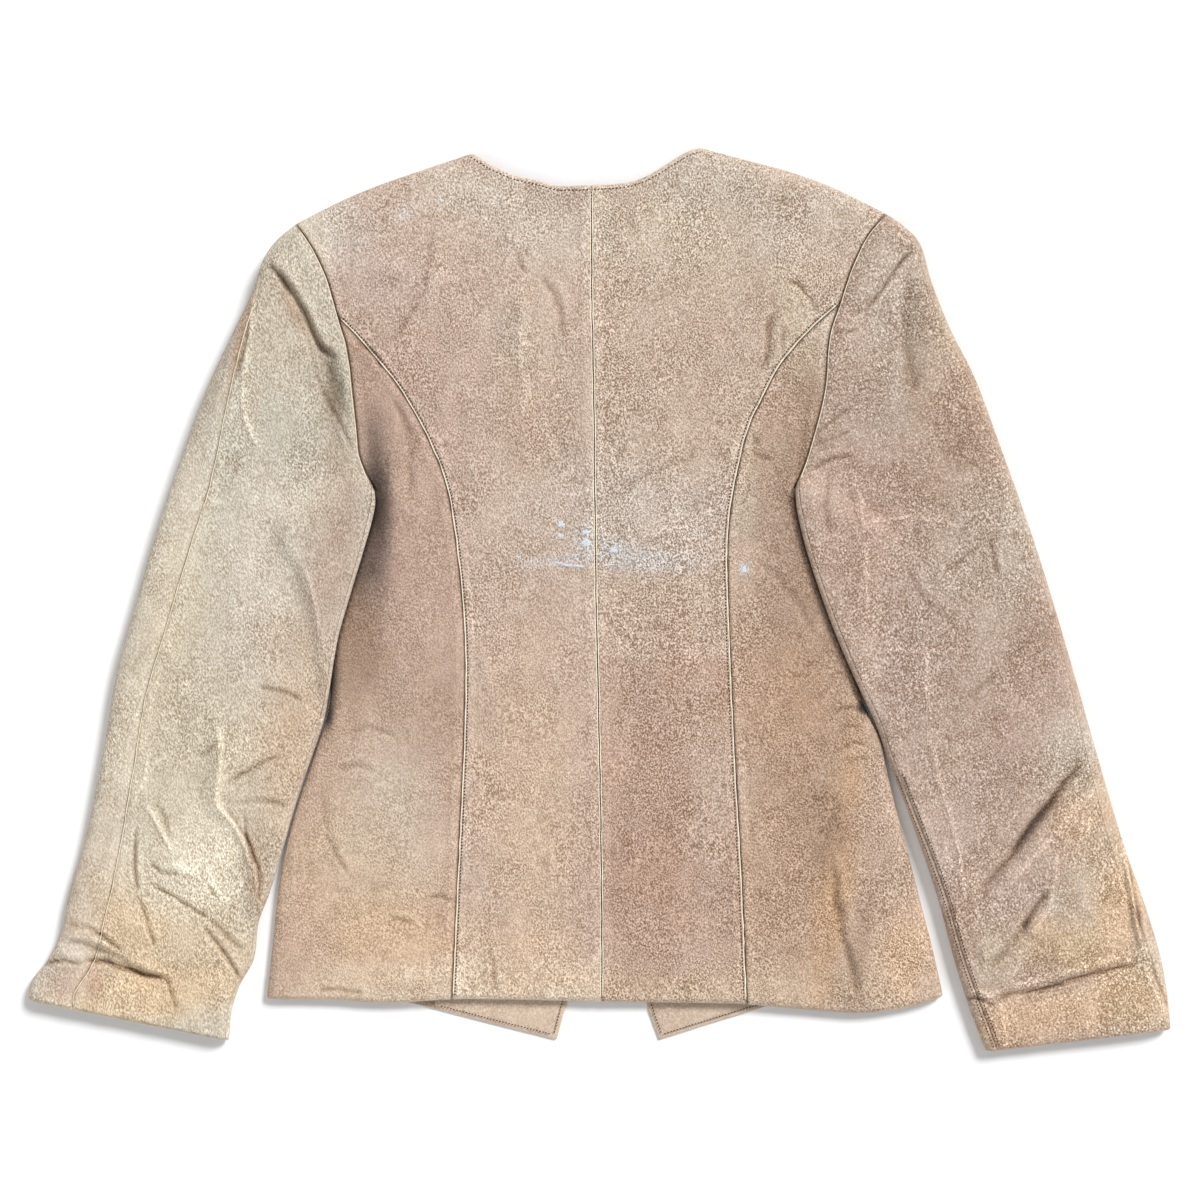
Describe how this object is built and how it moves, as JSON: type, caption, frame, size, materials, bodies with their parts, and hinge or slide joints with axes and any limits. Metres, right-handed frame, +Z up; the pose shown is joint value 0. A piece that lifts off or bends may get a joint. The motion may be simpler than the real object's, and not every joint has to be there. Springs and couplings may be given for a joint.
{
  "type": "suede jacket",
  "caption": "Collarless waist-length suede jacket with cutaway fronts, princess seams and two-piece sleeves, laid flat on its front as on a table.",
  "frame": {"origin": "Bottom centre of the bounding box, on the surface that the jacket lies on.", "axes": "+X across the jacket from the sleeve on the left of the back view to the one on the right, +Y from hem to neck, +Z up out of the surface, through the back."},
  "size_m": [0.8274, 0.6524, 0.0231],
  "materials": {
    "suede_back_left": "napped suede, unlined look, matt",
    "suede_back_right": "napped suede, unlined look, matt",
    "suede_back_side_left": "napped suede, unlined look, matt",
    "suede_back_side_right": "napped suede, unlined look, matt",
    "suede_front_left": "napped suede, unlined look, matt",
    "suede_front_right": "napped suede, unlined look, matt",
    "suede_front_side_left": "napped suede, unlined look, matt",
    "suede_front_side_right": "napped suede, unlined look, matt",
    "suede_sleeve_left_upper": "napped suede, unlined look, matt",
    "suede_sleeve_left_under": "napped suede, unlined look, matt",
    "suede_sleeve_right_upper": "napped suede, unlined look, matt",
    "suede_sleeve_right_under": "napped suede, unlined look, matt"
  },
  "bodies": {
    "root": {"back_left": "suede_back_left", "back_right": "suede_back_right", "back_side_left": "suede_back_side_left", "back_side_right": "suede_back_side_right", "front_left": "suede_front_left", "front_right": "suede_front_right", "front_side_left": "suede_front_side_left", "front_side_right": "suede_front_side_right", "sleeve_left_upper": "suede_sleeve_left_upper", "sleeve_left_under": "suede_sleeve_left_under", "sleeve_right_upper": "suede_sleeve_right_upper", "sleeve_right_under": "suede_sleeve_right_under"}
  },
  "joints": []
}
